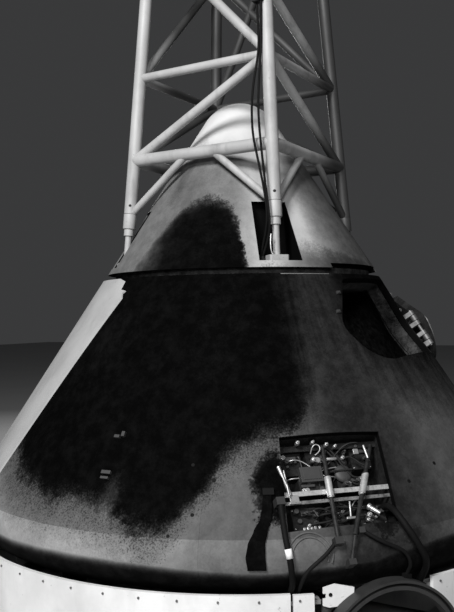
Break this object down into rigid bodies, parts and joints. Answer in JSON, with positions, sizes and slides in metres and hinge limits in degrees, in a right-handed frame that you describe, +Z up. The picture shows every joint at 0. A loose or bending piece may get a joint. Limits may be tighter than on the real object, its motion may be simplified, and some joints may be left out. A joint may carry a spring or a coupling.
{
  "type": "space capsule",
  "caption": "Fire-damaged conical crew capsule on its white carrier ring, with an open side hatch, an open equipment bay and a lattice escape tower.",
  "frame": {"origin": "on the floor under the capsule's axis, at the middle of the carrier ring's lower face", "axes": "+Z up along the capsule's axis, -Y towards the side hatch, +X to the right when facing the hatch from outside"},
  "size_m": [3.912, 3.912, 5.73],
  "materials": {
    "arch_dark": "satin",
    "bay_dark": "matt",
    "bay_units": "satin",
    "bright_metal": "satin",
    "cabin_metal": "sooted",
    "cable_black": "matt",
    "couch_fabric": "burnt",
    "cover_white": "matt",
    "forward_shell": "matt, sooted",
    "hatch_shell": "matt, sooted",
    "panel_grey": "burnt",
    "ring_metal": "mill",
    "ring_white": "satin",
    "scorched_shell": "matt, burnt black over light grey",
    "shield_paint": "matt, sooted",
    "strap_webbing": "burnt",
    "tower_paint": "satin, dusty",
    "window_glass": "sooted"
  },
  "bodies": {
    "capsule": {"aft_heat_shield": "shield_paint", "arch_web": "arch_dark", "bay_liner": "bay_dark", "bay_lugs": "bay_units", "bay_rails": "bright_metal", "bay_struts": "bright_metal", "bay_surround": "scorched_shell", "bay_units": "bay_units", "cabin_floor_roof": "cabin_metal", "cabin_hatch_wall": "cabin_metal", "cabin_wall": "cabin_metal", "cable_bundle": "cable_black", "cable_taped": "cable_black", "cable_tower_inner": "cable_black", "cable_tower_outer": "cable_black", "couch_struts": "cabin_metal", "crew_cone": "scorched_shell", "crew_couches": "couch_fabric", "equipment_lockers": "panel_grey", "forward_cone": "forward_shell", "forward_deck": "cabin_metal", "hatch_frame": "cabin_metal", "hatch_surround": "scorched_shell", "hinge_posts": "bright_metal", "hose_right": "cable_black", "hose_thin": "cable_black", "instrument_panel": "panel_grey", "left_cover_panel": "cover_white", "line_glands": "bay_units", "notched_plate": "ring_white", "right_cover_panel": "cover_white", "ring_beams": "ring_metal", "ring_bottom_flange": "ring_metal", "ring_middle_frame": "ring_metal", "ring_panels": "ring_white", "ring_top_frame": "ring_metal", "support_pads": "ring_metal", "tower_braces_lower": "tower_paint", "tower_braces_middle": "tower_paint", "tower_braces_upper": "tower_paint", "tower_cable_sockets": "bay_units", "tower_cross_brace": "tower_paint", "tower_feet": "bright_metal", "tower_foot_braces": "tower_paint", "tower_head_ring": "tower_paint", "tower_legs": "tower_paint", "tower_ring_lower": "tower_paint", "tower_ring_middle": "tower_paint", "tower_ring_upper": "tower_paint", "umbilical_arch": "arch_dark", "webbing_strap": "strap_webbing"},
    "hatch": {"hatch_door": "hatch_shell", "hatch_window": "window_glass", "hatch_latch_frame": "cabin_metal", "hatch_hinge_arms": "bright_metal"}
  },
  "joints": [
    {"name": "hatch_hinge", "type": "hinge", "parent": "capsule", "child": "hatch", "pos_m": [0.7, -1.09483, 2.02054], "axis": [0, 0.5446, 0.8387], "range_deg": [-200, 0]}
  ]
}
